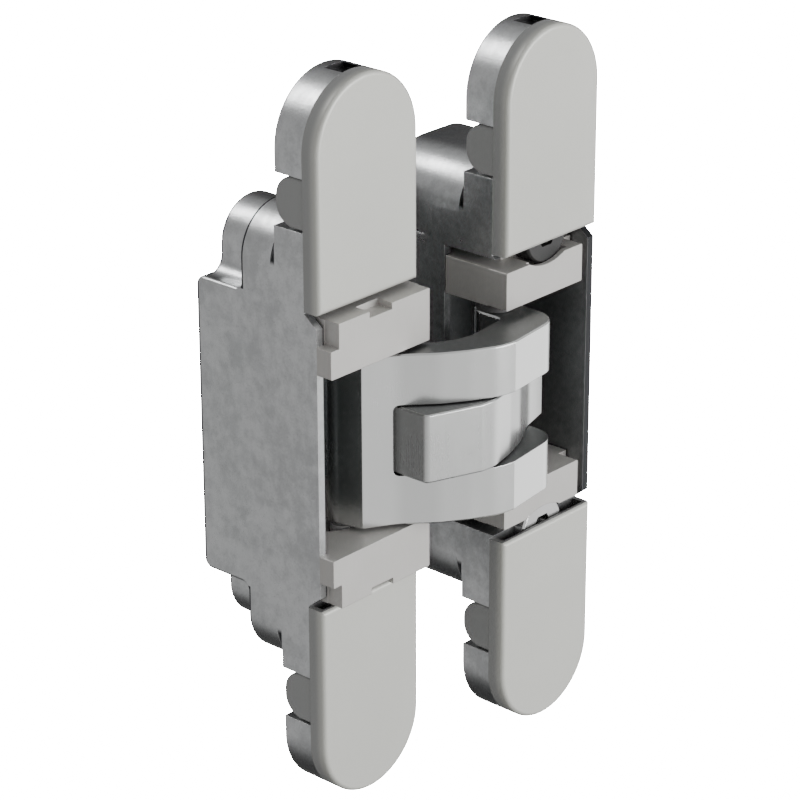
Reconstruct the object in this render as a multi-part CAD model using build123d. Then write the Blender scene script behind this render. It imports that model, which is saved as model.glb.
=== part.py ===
from build123d import *
import os
from math import atan2, cos, degrees, pi, sin

os.makedirs("parts", exist_ok=True)

# A concealed door hinge, open 180 degrees.
# +Z runs along the hinge, the faces that show look along -Y, and X runs from the
# frame side (left) to the door side (right). The pieces are drawn about a point midway
# between the bodies, level with the frame side's covers, and saved about the middle of
# the frame side's flange, on its back face, where it is screwed down.

# Bodies
BODY_WIDTH = 28.0
BODY_DEPTH = 33.1
HALF_LENGTH = 75.9
WALL = 1.8
END_WALL = 1.3
EDGE_GAP = 19.4
DOOR_ADVANCE = 6.2
CLOSED_GAP = 4.0

# Depths of the body's steps, from the covers' faces
COVER_THICKNESS = 3.9
FLANGE_THICKNESS = 7.5
MIDDLE_BACK = 20.8
BOSS_BACK = 31.5
WALL_EDGE = 0.7
INNER_WALL_EDGE = 16.4

# Half-length of the pocket's casing, and how far the steps reach beyond it
POCKET_HALF = 31.5
MIDDLE_STEP = 16.5
BOSS_END_GAP = 2.6
BOSS_SIDE_GAP = 5.3
WALL_EDGE_SETBACK = 3.2
WALL_EDGE_SLOPE = 0.8
MIDDLE_CORNER = 10.0
BOSS_FLARE = 3.5
STEP_COVE = 1.5
FLANGE_COVE = 1.5
BACK_ROUND = 2.0
RIM_ROUND = 0.8

# Fixing holes of the flanges
FIXING_END_GAP = 9.9
FIXING_RADIUS = 2.6
COUNTERSINK_RADIUS = 5.2

# Notches at the flanges' ends, to lever the covers off
PRY_WIDTH = 5.0
PRY_REACH = 4.6
PRY_DEPTH = 1.2

# Clip notches at the flange's sides
NOTCH_Z = 52.2
NOTCH_LENGTH = 10.7
NOTCH_DEPTH = 4.4

# Covers
COVER_OVERLAP = 0.4
COVER_SKIN = 1.2
COVER_ROUND = 0.9
CLIP_INSET = 0.3
CLIP_THICKNESS = 3.2
CLIP_REACH = 11.3
CLIP_END_ROUND = 4.5
CLIP_EDGE_ROUND = 0.5

# Carriers, which hold the pins inside the bodies
CARRIER_REAR_GAP = 0.3
SEAT_GAP = 0.3
FRAME_ARM_GAP = 0.8
FRAME_PLATE_PROUD = 3.0
DOOR_ARM_GAP = 1.8
DOOR_END_GAP = 0.2
DOOR_CARRIER_WIDTH = 23.6
DOOR_LIP_DEPTH = 1.1
CARRIER_SHOULDER = 5.0
PLATE_NOTCH_WIDTH = 6.3
PLATE_NOTCH_DEPTH = 1.3
PLATE_RECESS_WIDTH = 2.3
PLATE_RECESS_LENGTH = 5.1
CARRIER_EDGE_ROUND = 0.3

# Arms
ARM_HALF_HEIGHT = 18.2
WINDOW_HALF_HEIGHT = 7.55
WINDOW_GAP = 0.3
WINDOW_EDGE_GAP = 0.7
WINDOW_CORNER = 1.2
KNUCKLE_RADIUS = 4.2
SLIDE_END_RADIUS = 3.7
FORK_TIP_DEPTH = 12.9
FORK_TIP_ROUND = 5.5
TONGUE_TIP_DEPTH = 13.4
TONGUE_TIP_INSET = 0.8
TONGUE_TIP_ROUND = 1.2
FRONT_BEND_ROUND = 12.0
BACK_BEND_ROUND = 3.0
THROAT_ROUND = 1.0
PIN_PASS_RADIUS = 3.1
ARM_EDGE = 0.3
CENTRE_PIN_COVER = 1.6

# Corners of the arms' outline, as shares of SLIDE_BACK and SLIDE_RISE: along the front
# from the slide end, then behind the door pivot, the crossing and the frame pivot
FRONT_SHARES = (
    (-0.095, -0.378), (0.204, -0.573), (0.493, -0.881),
    (0.735, -1.065), (1.024, -1.238), (1.185, -1.254),
)
THROAT_SHARE = -0.27
CROSSING_SHARES = ((0.024, 0.222), (-0.147, 0.265), (-0.355, 0.4))
PASS_SHARES = ((0.085, -0.135), (-0.128, -0.0865))

# Pivots: distance from the body's inner side, depth behind the carrier's face, and
# how far the arms' crossing lies in front of the line between the two pivots
PIVOT_INSET = 4.3
PIVOT_DEPTH = 6.5
CROSSING_REACH = 12.0

# The fork arm's far end, from the crossing
SLIDE_BACK = 21.1
SLIDE_RISE = 18.5

# Pins, bushes and sleeves
PIVOT_PIN_RADIUS = 2.25
CENTRE_PIN_RADIUS = 2.25
SLIDE_PIN_RADIUS = 2.0
BUSH_WALL = 0.7
SLEEVE_RADIUS = 2.8
RUNNING_CLEARANCE = 0.05
PRESS_CLEARANCE = 0.02
SLOT_CLEARANCE = 0.12
SLOT_BEND_SHARE = 0.2
PIVOT_PIN_COVER = 2.2
SLOT_DEPTH = 4.0
SLOT_END_GAP = 0.2
PIN_CHAMFER = 0.4
WASHER_RADIUS = 4.0
WASHER_GAP = 0.1

# Height adjusting discs of the door side, with a crank pin in the carrier's tab
DISC_RADIUS = 6.2
DISC_Z_STEP = 0.9
DISC_FRONT = 1.4
DISC_BACK = 5.9
DISC_SHAFT_RADIUS = 1.9
DISC_SHAFT_END = 15.0
SCOOP_RADIUS = 12.0
SCOOP_DEPTH = 1.3
SCOOP_SHIFT = 1.5
HEIGHT_TRAVEL = 2.0
CRANK_RADIUS = 4.5
CRANK_PIN_RADIUS = 1.2
DISC_SOCKET_RADIUS = 2.9
DISC_SOCKET_DEPTH = 2.0

# Tabs of the carriers, in pockets of the flanges
TAB_FRONT = 6.2
TAB_BACK = 8.9
TAB_HALF_WIDTH = 8.6
TAB_REACH = 8.5
TAB_CORNER = 2.0
TAB_POCKET_GAP = 0.3

# Clamp screws of the frame side
CLAMP_Z_STEP = 5.0
CLAMP_HEAD_RADIUS = 4.2
CLAMP_HEAD_FRONT = 4.2
CLAMP_RADIUS = 2.5
CLAMP_END = 18.0
CLAMP_SOCKET_RADIUS = 2.2
CLAMP_SOCKET_DEPTH = 1.6
CLAMP_SLOT_REACH = 1.0

# How far a cut starts outside what it cuts
OVERCUT = 1.0

# Sizes that follow from the ones above
MIDLINE = BODY_WIDTH / 2
END_RADIUS = BODY_WIDTH / 2
MIDDLE_HALF = POCKET_HALF + MIDDLE_STEP
BOSS_RADIUS = MIDLINE - BOSS_SIDE_GAP
BOSS_HALF = MIDDLE_HALF - BOSS_END_GAP
FLANGE_BACK = COVER_THICKNESS + FLANGE_THICKNESS
FIXING_Z = HALF_LENGTH - FIXING_END_GAP
CAVITY_HALF = POCKET_HALF - END_WALL
WALL_EDGE_HALF = POCKET_HALF - WALL_EDGE_SETBACK
COVER_INNER_END = POCKET_HALF - COVER_OVERLAP
DISC_Z = POCKET_HALF + DISC_Z_STEP
CLAMP_Z = POCKET_HALF + CLAMP_Z_STEP
TAB_TOP = POCKET_HALF + TAB_REACH
FRAME_CARRIER_INNER = ARM_HALF_HEIGHT + FRAME_ARM_GAP
FRAME_CARRIER_OUTER = CAVITY_HALF - SEAT_GAP
PLATE_RECESS_Z = FRAME_CARRIER_OUTER - PLATE_RECESS_LENGTH
DOOR_CARRIER_INNER = ARM_HALF_HEIGHT + DOOR_ARM_GAP
DOOR_CARRIER_OUTER = CAVITY_HALF - HEIGHT_TRAVEL - DOOR_END_GAP
SCOOP_BOTTOM = DOOR_CARRIER_OUTER - SCOOP_DEPTH
PIVOT_PIN_END = DOOR_CARRIER_OUTER - PIVOT_PIN_COVER
CAVITY_BACK = BODY_DEPTH - WALL
CARRIER_BACK = CAVITY_BACK - CARRIER_REAR_GAP
CARRIER_WIDTH = BODY_WIDTH - WALL - SEAT_GAP
CAVITY_INNER = WALL + SEAT_GAP
TONGUE_HALF_HEIGHT = WINDOW_HALF_HEIGHT - WINDOW_GAP
FRAME_SLOT_END = FRAME_CARRIER_INNER + SLOT_DEPTH
DOOR_SLOT_END = DOOR_CARRIER_INNER + SLOT_DEPTH
SLOT_RADIUS = SLEEVE_RADIUS + SLOT_CLEARANCE
FAR = 3 * HALF_LENGTH

# Places of the pivots with the hinge open, and of the point that the door body turns
# half round about from open to closed
FRAME_PIVOT = Vector(-EDGE_GAP / 2 - PIVOT_INSET, PIVOT_DEPTH - FRAME_PLATE_PROUD)
DOOR_PIVOT = Vector(EDGE_GAP / 2 + PIVOT_INSET, PIVOT_DEPTH - DOOR_ADVANCE)
PIVOT_LINE = (DOOR_PIVOT - FRAME_PIVOT).normalized()
CROSSING = (FRAME_PIVOT + DOOR_PIVOT) * 0.5 + Vector(PIVOT_LINE.Y, -PIVOT_LINE.X) * CROSSING_REACH
HALF_TURN_POINT = Vector(0, -(DOOR_ADVANCE + CLOSED_GAP) / 2)
SLIDE_END = CROSSING + Vector(-SLIDE_BACK, SLIDE_RISE)
MIRROR_PLANE = Plane(origin=CROSSING, z_dir=PIVOT_LINE)


def turned(point, centre, angle):
    """A point turned clockwise, seen from above, about a centre."""
    offset = point - centre
    return centre + Vector(
        offset.X * cos(angle) + offset.Y * sin(angle),
        offset.Y * cos(angle) - offset.X * sin(angle),
    )


def heading(start, end):
    return atan2(end.Y - start.Y, end.X - start.X)


def fold_angles():
    """Turns of the tongue in the frame, the fork on the tongue, the door on the fork."""
    reach = (CROSSING - FRAME_PIVOT).length
    closed_door_pivot = HALF_TURN_POINT * 2 - DOOR_PIVOT
    middle = (FRAME_PIVOT.Y + closed_door_pivot.Y) / 2
    aside = (reach ** 2 - (FRAME_PIVOT.Y - middle) ** 2) ** 0.5
    closed_crossing = Vector(FRAME_PIVOT.X - aside, middle)
    tongue = heading(FRAME_PIVOT, CROSSING) - heading(FRAME_PIVOT, closed_crossing)
    fork = heading(CROSSING, DOOR_PIVOT) - heading(closed_crossing, closed_door_pivot)
    tongue = tongue % (2 * pi)
    fork = fork % (2 * pi)
    return tongue, fork - tongue, pi - fork


TONGUE_TURN, FORK_TURN, DOOR_TURN = fold_angles()


def fork_slide_path(share):
    """Where the fork's far end is in the frame body, at a share of the fold."""
    point = turned(SLIDE_END, CROSSING, FORK_TURN * share)
    return turned(point, FRAME_PIVOT, TONGUE_TURN * share)


def mirrored(point):
    """A point of the fork as the tongue has it."""
    offset = (point - CROSSING).dot(PIVOT_LINE)
    return point - PIVOT_LINE * (2 * offset)


def tongue_slide_path(share):
    """Where the tongue's far end is in the door body, at a share of the fold."""
    point = turned(mirrored(SLIDE_END), CROSSING, -FORK_TURN * share)
    return turned(point, DOOR_PIVOT, -DOOR_TURN * share)


def place(solid, side):
    """A solid drawn from a body's inner side outwards, set on its own side."""
    if side == "door":
        return Pos(EDGE_GAP / 2, -DOOR_ADVANCE, 0) * solid
    return Pos(-EDGE_GAP / 2, 0, 0) * mirror(solid, about=Plane.YZ)


def block(u0, u1, d0, d1, z0, z1):
    return Pos((u0 + u1) / 2, (d0 + d1) / 2, (z0 + z1) / 2) * Box(u1 - u0, d1 - d0, z1 - z0)


def front_plane(depth):
    """Sketch plane at a depth, with its X along the width and its Y along +Z."""
    return Plane(origin=(0, depth, 0), x_dir=(1, 0, 0), z_dir=(0, -1, 0))


def prism(sketch, d0, d1):
    """A sketch of the front view, made solid between two depths."""
    return extrude(front_plane(d1) * sketch, d1 - d0)


def disc(u, z, radius, d0, d1):
    return prism(Pos(u, z) * Circle(radius), d0, d1)


def upright(point, radius, z0, z1):
    """A round bar along Z."""
    return Pos(point.X, point.Y, (z0 + z1) / 2) * Cylinder(radius, z1 - z0)


def flipped(solid):
    """The lower one of a pair that mirrors about the hinge's middle."""
    return mirror(solid, about=Plane.XY)


def save(solid, name):
    placed = Pos(EDGE_GAP / 2 + MIDLINE, -FLANGE_BACK, 0) * solid
    solids = placed.solids()
    shape = solids[0] if len(solids) == 1 else Compound(children=list(solids))
    export_step(shape, os.path.join("parts", name + ".step"))


def at_depth(edges, depth):
    return edges.filter_by_position(Axis.Y, depth - 0.01, depth + 0.01)


def flange_cove():
    """Cove between the flange's back and the upper end of the step behind it."""
    size = 2 * FLANGE_COVE
    profile = Pos(MIDDLE_CORNER, FLANGE_BACK) * Rectangle(size, size)
    profile -= Pos(MIDDLE_CORNER + FLANGE_COVE, FLANGE_BACK + FLANGE_COVE) * Circle(FLANGE_COVE)
    centre = Vector(BODY_WIDTH - MIDDLE_CORNER, 0, MIDDLE_HALF - MIDDLE_CORNER)
    corner = revolve(Pos(centre) * profile, Axis(centre, (0, -1, 0)), 90)
    corner += mirror(corner, about=Plane.YZ.offset(MIDLINE))
    upright_profile = Plane(origin=(MIDDLE_CORNER, 0, centre.Z), x_dir=(0, 0, 1), z_dir=(-1, 0, 0))
    straight = extrude(upright_profile * profile, -(BODY_WIDTH - 2 * MIDDLE_CORNER))
    return (corner + straight) & block(0, BODY_WIDTH, 0, BODY_DEPTH, 0, HALF_LENGTH)


def stepped_body():
    """What stands behind the flange: a step with round ends, a boss and the pocket's casing."""
    middle = prism(
        Pos(MIDLINE, 0) * RectangleRounded(BODY_WIDTH, 2 * MIDDLE_HALF, MIDDLE_CORNER),
        COVER_THICKNESS, MIDDLE_BACK,
    )
    casing = block(0, BODY_WIDTH, COVER_THICKNESS, BODY_DEPTH, -POCKET_HALF, POCKET_HALF)
    casing = fillet(casing.edges().filter_by(Axis.X).group_by(Axis.Y)[-1], BACK_ROUND)
    boss_face = Pos(MIDLINE, 0) * (
        Rot(0, 0, 90) * SlotOverall(2 * BOSS_HALF, 2 * BOSS_RADIUS)
        + Rectangle(BODY_WIDTH, 2 * POCKET_HALF)
    )
    boss_feet = [
        vertex for vertex in boss_face.vertices()
        if 0.01 < vertex.X < BODY_WIDTH - 0.01 and abs(abs(vertex.Y) - POCKET_HALF) < 0.01
    ]
    boss = prism(fillet(boss_feet, BOSS_FLARE), COVER_THICKNESS, BOSS_BACK)
    boss = fillet(boss.edges().group_by(Axis.Y)[-1], RIM_ROUND)
    solid = middle + casing + boss
    step_foot = [
        edge for edge in at_depth(solid.edges(), MIDDLE_BACK)
        if abs(edge.center().Z) < BOSS_HALF + 0.05
        and abs(edge.center().X - MIDLINE) < MIDLINE - 0.1
        and not (edge.geom_type == GeomType.CIRCLE and abs(edge.radius - MIDDLE_CORNER) < 0.01)
    ]
    solid = fillet(step_foot, STEP_COVE)
    sides = [
        edge for edge in solid.edges()
        if abs(abs(edge.center().X - MIDLINE) - MIDLINE) < 0.01
        and edge.center().Y > MIDDLE_BACK - 0.01
    ]
    ends = [
        edge for edge in at_depth(solid.edges(), MIDDLE_BACK)
        if abs(edge.center().Z) > MIDDLE_HALF - 0.01
        or (edge.geom_type == GeomType.CIRCLE and abs(edge.radius - MIDDLE_CORNER) < 0.01)
    ]
    return fillet(sides + ends, RIM_ROUND)


def shell(side):
    """The die-cast body: flange, stepped back, open pocket for the arms."""
    flange = prism(
        Pos(MIDLINE, 0) * Rot(0, 0, 90) * SlotOverall(2 * HALF_LENGTH, BODY_WIDTH),
        COVER_THICKNESS, FLANGE_BACK,
    )
    cove = flange_cove()
    rise = COVER_THICKNESS - WALL_EDGE
    lip_face = Plane.YZ * make_face(
        Polyline(
            (WALL_EDGE, -WALL_EDGE_HALF),
            (WALL_EDGE, WALL_EDGE_HALF),
            (COVER_THICKNESS, WALL_EDGE_HALF + rise * WALL_EDGE_SLOPE),
            (FLANGE_BACK, POCKET_HALF),
            (FLANGE_BACK, -POCKET_HALF),
            (COVER_THICKNESS, -WALL_EDGE_HALF - rise * WALL_EDGE_SLOPE),
            close=True,
        )
    )
    lip = extrude(lip_face, BODY_WIDTH)
    solid = flange + cove + flipped(cove) + stepped_body() + lip
    inner = block(-OVERCUT, BODY_WIDTH - WALL, -OVERCUT, INNER_WALL_EDGE, -CAVITY_HALF, CAVITY_HALF)
    deep = block(WALL, BODY_WIDTH - WALL, -OVERCUT, CAVITY_BACK, -CAVITY_HALF, CAVITY_HALF)
    solid = solid - inner - deep
    for sign in (1, -1):
        low, high = sorted((sign * (HALF_LENGTH - PRY_DEPTH), sign * (HALF_LENGTH + OVERCUT)))
        solid -= block(MIDLINE - PRY_WIDTH / 2, MIDLINE + PRY_WIDTH / 2,
                       COVER_THICKNESS, COVER_THICKNESS + PRY_REACH, low, high)
        for edge in (0, BODY_WIDTH - NOTCH_DEPTH):
            solid -= block(edge, edge + NOTCH_DEPTH, COVER_THICKNESS, FLANGE_BACK + FLANGE_COVE,
                           sign * NOTCH_Z - NOTCH_LENGTH / 2, sign * NOTCH_Z + NOTCH_LENGTH / 2)
        end_rim = [
            edge for edge in at_depth(solid.edges(), FLANGE_BACK)
            if sign * edge.center().Z > NOTCH_Z + NOTCH_LENGTH / 2 - 0.01
        ]
        solid = fillet(end_rim, RIM_ROUND)
        solid -= disc(MIDLINE, sign * FIXING_Z, FIXING_RADIUS, COVER_THICKNESS, FLANGE_BACK)
        sink = COUNTERSINK_RADIUS - FIXING_RADIUS
        solid -= (
            Pos(MIDLINE, COVER_THICKNESS + sink / 2, sign * FIXING_Z)
            * Rot(90, 0, 0)
            * Cone(FIXING_RADIUS, COUNTERSINK_RADIUS, sink)
        )
        reach = TAB_TOP + TAB_POCKET_GAP
        if side == "door":
            solid -= disc(MIDLINE, sign * DISC_Z, DISC_RADIUS + RUNNING_CLEARANCE,
                          0, TAB_FRONT - TAB_POCKET_GAP)
            solid -= disc(MIDLINE, sign * DISC_Z, DISC_SHAFT_RADIUS + RUNNING_CLEARANCE,
                          0, DISC_SHAFT_END + SEAT_GAP)
            reach += HEIGHT_TRAVEL
        else:
            solid -= disc(MIDLINE, sign * CLAMP_Z, CLAMP_HEAD_RADIUS + SEAT_GAP,
                          COVER_THICKNESS, TAB_FRONT)
            solid -= disc(MIDLINE, sign * CLAMP_Z, CLAMP_RADIUS + PRESS_CLEARANCE,
                          COVER_THICKNESS, CLAMP_END + SEAT_GAP)
        half = TAB_HALF_WIDTH + TAB_POCKET_GAP
        low, high = sorted((sign * (CAVITY_HALF - OVERCUT), sign * reach))
        solid -= block(MIDLINE - half, MIDLINE + half, TAB_FRONT - TAB_POCKET_GAP,
                       TAB_BACK + TAB_POCKET_GAP, low, high)
    return place(solid, side)


def cover(side):
    """An upper cover: a hollow cap with a round end and two clip legs."""
    straight = HALF_LENGTH - END_RADIUS - COVER_INNER_END
    outline = Pos(MIDLINE, COVER_INNER_END + straight / 2) * (
        Rectangle(BODY_WIDTH, straight) + Pos(0, straight / 2) * Circle(END_RADIUS)
    )
    cap = prism(outline, 0, COVER_THICKNESS)
    rim = cap.faces().sort_by(Axis.Y)[0].edges()
    cap = fillet(rim, COVER_ROUND)
    inside = Pos(MIDLINE, COVER_INNER_END + straight / 2) * (
        Pos(0, -OVERCUT) * Rectangle(BODY_WIDTH - 2 * COVER_SKIN, straight + 2 * OVERCUT)
        + Pos(0, straight / 2) * Circle(END_RADIUS - COVER_SKIN)
    )
    cap -= prism(inside, COVER_SKIN, COVER_THICKNESS)
    leg_length = NOTCH_LENGTH - 2 * SEAT_GAP
    for edge in (CLIP_INSET, BODY_WIDTH - CLIP_INSET - CLIP_THICKNESS):
        leg = block(edge, edge + CLIP_THICKNESS, COVER_SKIN, CLIP_REACH,
                    NOTCH_Z - leg_length / 2, NOTCH_Z + leg_length / 2)
        leg = fillet(leg.edges().filter_by(Axis.X).group_by(Axis.Y)[-1], CLIP_END_ROUND)
        leg = fillet(leg.edges().filter_by(Axis.Z).group_by(Axis.Y)[-1], CLIP_EDGE_ROUND)
        cap += leg
    return place(cap, side)


def slot_solid(path, bend, z0, z1):
    """The way cut for a slide pin: the pin's real path, as wide as its sleeve.

    The path starts with a bend tighter than the sleeve, so the inner side of the
    band begins a little later and two circles fill its start. The bend is 1 for a
    path that turns to its right and -1 for one that turns to its left.
    """
    steps = 20
    nudge = 0.001

    def heading_at(share):
        return (path(share + nudge) - path(share - nudge)).normalized()

    def edge_point(share, side):
        along = heading_at(share)
        return path(share) + Vector(-along.Y, along.X) * (side * SLOT_RADIUS)

    shares = [i / steps for i in range(steps + 1)]
    outer = [edge_point(share, bend) for share in shares]
    inner = [edge_point(share, -bend) for share in shares if share >= SLOT_BEND_SHARE]
    tip = path(1) + heading_at(1) * SLOT_RADIUS
    face = make_face(
        Wire([
            Spline(*outer),
            ThreePointArc(outer[-1], tip, inner[-1]),
            Spline(*reversed(inner)),
            Line(inner[0], outer[0]),
        ])
    )
    for share in (0, SLOT_BEND_SHARE):
        face += Pos(path(share).X, path(share).Y) * Circle(SLOT_RADIUS)
    return Pos(0, 0, z0) * extrude(face, z1 - z0, dir=(0, 0, 1))


def carrier_tab(outer, hole):
    """The tab that lies in the flange's pocket, drawn above the upper carrier."""
    tab = block(MIDLINE - TAB_HALF_WIDTH, MIDLINE + TAB_HALF_WIDTH,
                TAB_FRONT, TAB_BACK, outer - OVERCUT, TAB_TOP)
    tab = fillet(tab.edges().filter_by(Axis.Y).group_by(Axis.Z)[-1], TAB_CORNER)
    return tab - hole


def travel_slot(radius):
    """Outline a round piece of the door body needs in the carrier, over its travel."""
    return (
        Pos(MIDLINE, DISC_Z)
        * Rot(0, 0, 90)
        * SlotCenterToCenter(2 * HEIGHT_TRAVEL, 2 * radius)
    )


def frame_carrier():
    """Upper carrier of the frame side, with a face plate as wide as the body."""
    inner, outer = FRAME_CARRIER_INNER, FRAME_CARRIER_OUTER
    plate = block(0, BODY_WIDTH, -FRAME_PLATE_PROUD, WALL_EDGE, inner, outer)
    plate = fillet(plate.edges().filter_by(Axis.Y), CARRIER_EDGE_ROUND)
    body = block(0, CARRIER_WIDTH, 0, INNER_WALL_EDGE - SEAT_GAP, inner, outer)
    body += block(CAVITY_INNER, CARRIER_WIDTH, 0, CARRIER_BACK, inner, outer)
    recess = block(BODY_WIDTH - PLATE_RECESS_WIDTH, BODY_WIDTH + OVERCUT, -FAR, WALL_EDGE,
                   PLATE_RECESS_Z, outer + OVERCUT)
    notch = block(MIDLINE - PLATE_NOTCH_WIDTH / 2, MIDLINE + PLATE_NOTCH_WIDTH / 2,
                  -FAR, WALL_EDGE, outer - PLATE_NOTCH_DEPTH, outer + OVERCUT)
    hole = prism(
        Pos(MIDLINE, CLAMP_Z) * Rot(0, 0, 90)
        * SlotCenterToCenter(2 * CLAMP_SLOT_REACH, 2 * (CLAMP_RADIUS + SEAT_GAP)),
        TAB_FRONT, TAB_BACK,
    )
    solid = plate + body - recess - notch + carrier_tab(outer, hole)
    solid = place(solid, "frame")
    solid -= slot_solid(fork_slide_path, 1, inner, FRAME_SLOT_END)
    solid -= upright(FRAME_PIVOT, PIVOT_PIN_RADIUS + PRESS_CLEARANCE, inner, PIVOT_PIN_END + SLOT_END_GAP)
    return solid


def door_carrier():
    """Upper carrier of the door side, hollowed round the adjusting disc."""
    inner, outer = DOOR_CARRIER_INNER, DOOR_CARRIER_OUTER
    lip = block(0, DOOR_CARRIER_WIDTH, 0, CARRIER_SHOULDER, inner, outer)
    lip = fillet(lip.edges().filter_by(Axis.Y), CARRIER_EDGE_ROUND)
    body = block(0, CARRIER_WIDTH, CARRIER_SHOULDER, INNER_WALL_EDGE - SEAT_GAP, inner, outer)
    body += block(CAVITY_INNER, CARRIER_WIDTH, CARRIER_SHOULDER, CARRIER_BACK, inner, outer)
    scoop = disc(MIDLINE - SCOOP_SHIFT, SCOOP_BOTTOM + SCOOP_RADIUS, SCOOP_RADIUS, -OVERCUT, DOOR_LIP_DEPTH)
    hollow = prism(travel_slot(DISC_RADIUS + SEAT_GAP), DOOR_LIP_DEPTH, DISC_BACK + SEAT_GAP)
    side_reach = CRANK_RADIUS - (CRANK_RADIUS ** 2 - HEIGHT_TRAVEL ** 2) ** 0.5
    crank_slot = Pos(MIDLINE - CRANK_RADIUS + side_reach / 2, DISC_Z) * SlotCenterToCenter(
        side_reach, 2 * (CRANK_PIN_RADIUS + SLOT_CLEARANCE)
    )
    hole = prism(crank_slot, TAB_FRONT, TAB_BACK)
    hole += prism(travel_slot(DISC_SHAFT_RADIUS + SLOT_CLEARANCE), TAB_FRONT, TAB_BACK)
    solid = lip + body - scoop - hollow + carrier_tab(outer, hole)
    solid = place(solid, "door")
    solid -= slot_solid(tongue_slide_path, -1, inner, DOOR_SLOT_END)
    solid -= upright(DOOR_PIVOT, PIVOT_PIN_RADIUS + PRESS_CLEARANCE, inner, PIVOT_PIN_END + SLOT_END_GAP)
    return solid


def outline_point(point, share):
    return point + Vector(share[0] * SLIDE_BACK, share[1] * SLIDE_RISE)


def arm_face(tip, tip_round):
    """Outline of the fork arm from above, with the hinge open."""
    front = [outline_point(SLIDE_END, share) for share in FRONT_SHARES]
    throat = outline_point(DOOR_PIVOT, (0, THROAT_SHARE)) - Vector(KNUCKLE_RADIUS, 0)
    bends = [outline_point(CROSSING, share) for share in CROSSING_SHARES]
    beside_pass = [outline_point(FRAME_PIVOT, share) for share in PASS_SHARES]
    face = make_face(
        Polyline(
            *front,
            tip,
            DOOR_PIVOT + Vector(KNUCKLE_RADIUS, 0),
            DOOR_PIVOT - Vector(KNUCKLE_RADIUS, 0),
            throat,
            *bends,
            beside_pass[0],
            FRAME_PIVOT,
            beside_pass[1],
            SLIDE_END + Vector(SLIDE_END_RADIUS, 0),
            SLIDE_END - Vector(SLIDE_END_RADIUS, 0),
            close=True,
        )
    )
    for point, radius in (
        [(tip, tip_round), (throat, THROAT_ROUND)]
        + [(point, FRONT_BEND_ROUND) for point in front[1:5]]
        + [(point, BACK_BEND_ROUND) for point in bends]
    ):
        face = fillet(face.vertices().sort_by_distance(point)[0], radius)
    face += Pos(DOOR_PIVOT.X, DOOR_PIVOT.Y) * Circle(KNUCKLE_RADIUS)
    face += Pos(SLIDE_END.X, SLIDE_END.Y) * Circle(SLIDE_END_RADIUS)
    return face - Pos(FRAME_PIVOT.X, FRAME_PIVOT.Y) * Circle(PIN_PASS_RADIUS)


def arm_solid(half_height, tip, tip_round):
    face = arm_face(tip, tip_round)
    solid = Pos(0, 0, -half_height) * extrude(face, 2 * half_height, dir=(0, 0, 1))
    rims = solid.edges().filter_by_position(Axis.Z, half_height - 0.01, half_height + 0.01)
    rims += solid.edges().filter_by_position(Axis.Z, -half_height - 0.01, -half_height + 0.01)
    return chamfer(rims, ARM_EDGE)


def fork_arm():
    """Full-height web at the slide end, two prongs from there to the knuckles."""
    tip = DOOR_PIVOT + Vector(KNUCKLE_RADIUS, -FORK_TIP_DEPTH)
    solid = arm_solid(ARM_HALF_HEIGHT, tip, FORK_TIP_ROUND)
    edge = FRAME_PIVOT.X - KNUCKLE_RADIUS - WINDOW_EDGE_GAP
    window = Pos(edge + FAR / 2, 0, 0) * Box(FAR, FAR, 2 * WINDOW_HALF_HEIGHT)
    window = fillet(window.edges().filter_by(Axis.Y).group_by(Axis.X)[0], WINDOW_CORNER)
    solid -= window
    for centre, radius, top in (
        (DOOR_PIVOT, PIVOT_PIN_RADIUS + BUSH_WALL + PRESS_CLEARANCE, FAR),
        (CROSSING, CENTRE_PIN_RADIUS + PRESS_CLEARANCE, ARM_HALF_HEIGHT - CENTRE_PIN_COVER),
        (SLIDE_END, SLIDE_PIN_RADIUS + PRESS_CLEARANCE, FAR),
    ):
        solid -= upright(centre, radius, -FAR, top)
    return solid


def tongue_arm():
    """The fork's mirror image, as high as the window lets it be."""
    tip = DOOR_PIVOT + Vector(TONGUE_TIP_INSET, -TONGUE_TIP_DEPTH)
    solid = arm_solid(TONGUE_HALF_HEIGHT, tip, TONGUE_TIP_ROUND)
    solid = mirror(solid, about=MIRROR_PLANE)
    for centre, radius in (
        (FRAME_PIVOT, PIVOT_PIN_RADIUS + BUSH_WALL + PRESS_CLEARANCE),
        (CROSSING, CENTRE_PIN_RADIUS + BUSH_WALL + PRESS_CLEARANCE),
        (mirrored(SLIDE_END), SLIDE_PIN_RADIUS + PRESS_CLEARANCE),
    ):
        solid -= upright(centre, radius, -FAR, FAR)
    return solid


def pin(point, radius, bottom, top):
    bar = upright(point, radius, bottom, top)
    return chamfer(bar.edges().filter_by(GeomType.CIRCLE), PIN_CHAMFER)


def tube(point, outer, inner, z0, z1):
    return upright(point, outer, z0, z1) - upright(point, inner, z0 - OVERCUT, z1 + OVERCUT)


def pair(solid):
    return Compound(children=[solid, flipped(solid)])


def adjusting_disc():
    """Upper disc: hexagon socket in front, shaft and crank pin behind."""
    wheel = disc(MIDLINE, DISC_Z, DISC_RADIUS, DISC_FRONT, DISC_BACK)
    wheel = chamfer(wheel.edges().filter_by(GeomType.CIRCLE).group_by(Axis.Y)[0], PIN_CHAMFER)
    wheel -= prism(
        Pos(MIDLINE, DISC_Z) * RegularPolygon(DISC_SOCKET_RADIUS, 6),
        DISC_FRONT, DISC_FRONT + DISC_SOCKET_DEPTH,
    )
    wheel += disc(MIDLINE, DISC_Z, DISC_SHAFT_RADIUS, DISC_BACK - OVERCUT, DISC_SHAFT_END)
    wheel += disc(MIDLINE - CRANK_RADIUS, DISC_Z, CRANK_PIN_RADIUS, DISC_BACK - OVERCUT, TAB_BACK - SEAT_GAP)
    return place(wheel, "door")


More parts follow.
